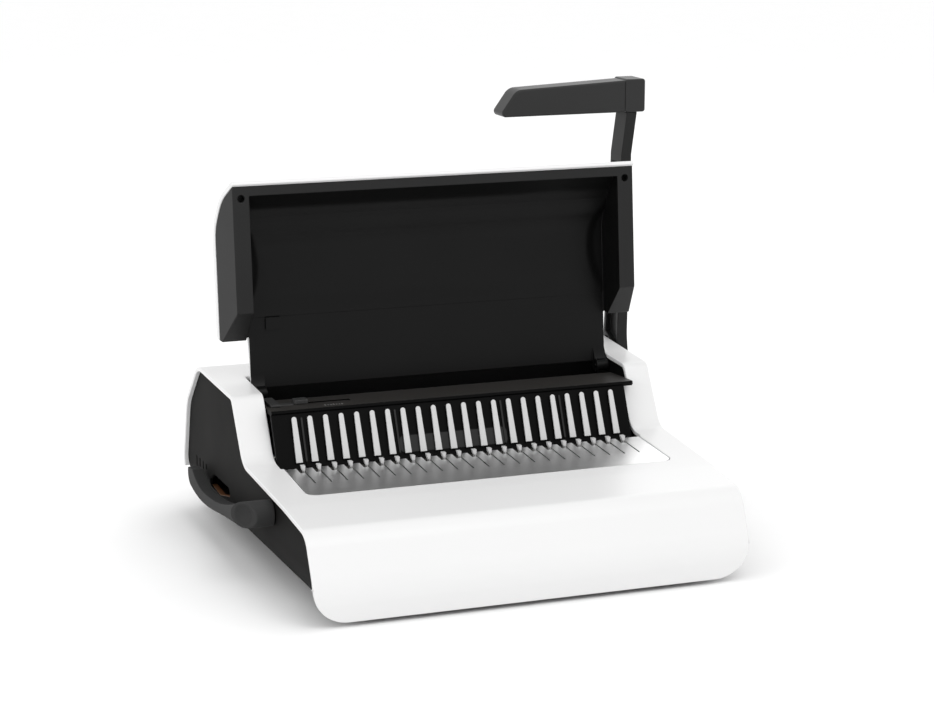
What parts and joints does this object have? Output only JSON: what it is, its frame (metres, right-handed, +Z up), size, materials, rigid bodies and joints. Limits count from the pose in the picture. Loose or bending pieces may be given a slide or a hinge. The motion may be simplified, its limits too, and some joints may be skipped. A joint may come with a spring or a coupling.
{
  "type": "comb binding machine",
  "caption": "Desktop comb binder: white cover with two towers, open lid, finger row over a steel plate, side punch handle and comb-opening lever.",
  "frame": {"origin": "on the table under the middle of the machine's bounding box", "axes": "+X along the finger row to the handle side, +Y to the rear, +Z up"},
  "size_m": [0.4521, 0.4022, 0.397],
  "materials": {
    "cover_white": "glossy white moulded ABS",
    "charcoal": "fine-textured charcoal moulding",
    "ledge_black": "satin black moulding",
    "lid_charcoal": "satin charcoal moulding",
    "handle_charcoal": "satin charcoal moulding",
    "lever_grey": "satin dark grey moulding",
    "plate_steel": "brushed stainless steel",
    "finger_steel": "bright plated steel",
    "frame_steel": "zinc plated sheet",
    "die_steel": "ground tool steel",
    "bush_brass": "turned brass",
    "rubber_black": "moulded rubber",
    "screw_steel": "blackened steel"
  },
  "bodies": {
    "machine": {"top_cover": "cover_white", "left_side_panel": "charcoal", "right_side_panel": "charcoal", "rear_panel": "charcoal", "base_pan": "charcoal", "grip_pocket": "charcoal", "ledge_panel": "ledge_black", "bay_liner": "ledge_black", "work_plate": "plate_steel", "comb_fingers": "finger_steel", "left_end_frame": "frame_steel", "right_end_frame": "frame_steel", "frame_brackets": "frame_steel", "tie_bars": "frame_steel", "rail_guides": "frame_steel", "punch_guides": "frame_steel", "lid_hinge_pins": "frame_steel", "front_die_plate": "die_steel", "rear_die_plate": "die_steel", "throat_stop": "die_steel", "shaft_bushes": "bush_brass", "lever_bushes": "bush_brass", "rubber_feet": "rubber_black", "base_screws": "screw_steel"},
    "handle": {"drive_shaft": "frame_steel", "cams": "die_steel", "handle_arm": "handle_charcoal", "handle_end_block": "handle_charcoal", "handle_grip": "handle_charcoal", "handle_hub_cap": "handle_charcoal"},
    "punch_carriage": {"punch_bar": "die_steel", "punches": "die_steel", "return_springs": "frame_steel"},
    "comb_lever": {"comb_lever": "lever_grey", "lever_shaft": "frame_steel", "pinions": "frame_steel"},
    "hook_carriage": {"hook_rail": "frame_steel", "comb_hooks": "finger_steel"},
    "lid": {"lid_shell": "cover_white", "lid_liner": "lid_charcoal", "lid_screws": "screw_steel", "lid_latch": "lid_charcoal"},
    "edge_guide": {"edge_guide": "ledge_black"},
    "chip_tray": {"chip_tray": "charcoal"}
  },
  "joints": [
    {"name": "handle_hinge", "type": "hinge", "parent": "machine", "child": "handle", "pos_m": [0, 0.112, 0.071], "axis": [1, 0, 0], "range_deg": [0, 82], "stiffness_Nm_per_rad": 0.5, "springref_deg": -68.75},
    {"name": "punch_slide", "type": "slide", "parent": "machine", "child": "punch_carriage", "axis": [0, -1, 0], "range_m": [0, 0.01], "deforming": ["return_springs"]},
    {"name": "comb_lever_hinge", "type": "hinge", "parent": "machine", "child": "comb_lever", "pos_m": [0, -0.078, 0.066], "axis": [1, 0, 0], "range_deg": [0, 85]},
    {"name": "hook_slide", "type": "slide", "parent": "machine", "child": "hook_carriage", "axis": [0, -1, 0], "range_m": [0, 0.0164]},
    {"name": "lid_hinge", "type": "hinge", "parent": "machine", "child": "lid", "pos_m": [0, 0.066, 0.134], "axis": [1, 0, 0], "range_deg": [0, 98]},
    {"name": "edge_guide_slide", "type": "slide", "parent": "machine", "child": "edge_guide", "axis": [1, 0, 0], "range_m": [0, 0.03]},
    {"name": "chip_tray_slide", "type": "slide", "parent": "machine", "child": "chip_tray", "axis": [1, 0, 0], "range_m": [0, 0.3]}
  ],
  "couplings": [
    {"joint": "punch_slide", "follows": "handle_hinge", "m_per_rad": 0.0069872},
    {"joint": "hook_slide", "follows": "comb_lever_hinge", "m_per_rad": 0.011}
  ]
}
